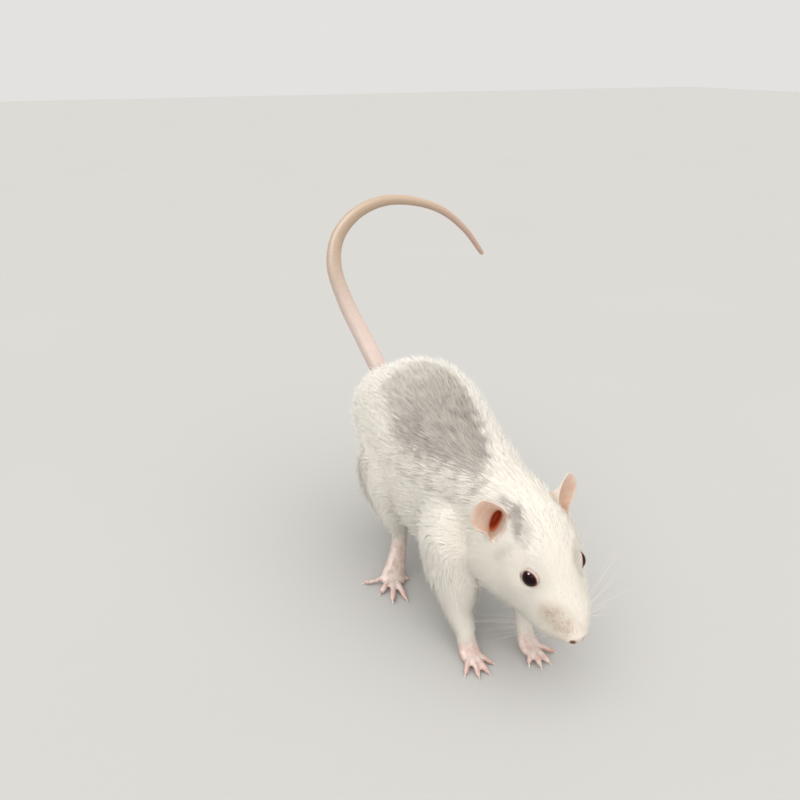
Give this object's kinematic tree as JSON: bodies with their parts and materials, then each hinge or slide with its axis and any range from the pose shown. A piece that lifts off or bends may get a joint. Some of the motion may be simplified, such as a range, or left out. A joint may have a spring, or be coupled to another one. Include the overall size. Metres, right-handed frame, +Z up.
{
  "type": "dumbo rat",
  "caption": "Life-size dumbo rat standing with its head lowered, round low-set ears and its bare tail arched over its back, as a still model.",
  "frame": {"origin": "on the floor, under the middle of the bounding box", "axes": "-Y the way the rat faces, +X to its left, +Z up; the soles stand on z = 0"},
  "size_m": [0.0996, 0.1806, 0.1467],
  "materials": {
    "fur": "short soft white coat",
    "bare_skin": "pink skin",
    "ear_skin": "thin pink skin",
    "eye": "wet gloss, dark ruby"
  },
  "bodies": {
    "root": {"head": "fur", "neck": "fur", "chest": "fur", "belly": "fur", "rump": "fur", "foreleg_right": "fur", "foreleg_left": "fur", "hind_leg_right": "fur", "hind_leg_left": "fur", "forepaw_right": "bare_skin", "forepaw_left": "bare_skin", "hind_foot_right": "bare_skin", "hind_foot_left": "bare_skin", "tail_1": "bare_skin", "tail_2": "bare_skin", "tail_3": "bare_skin", "tail_4": "bare_skin", "tail_5": "bare_skin", "ear_right": "ear_skin", "ear_left": "ear_skin", "eye_right": "eye", "eye_left": "eye"}
  },
  "joints": []
}
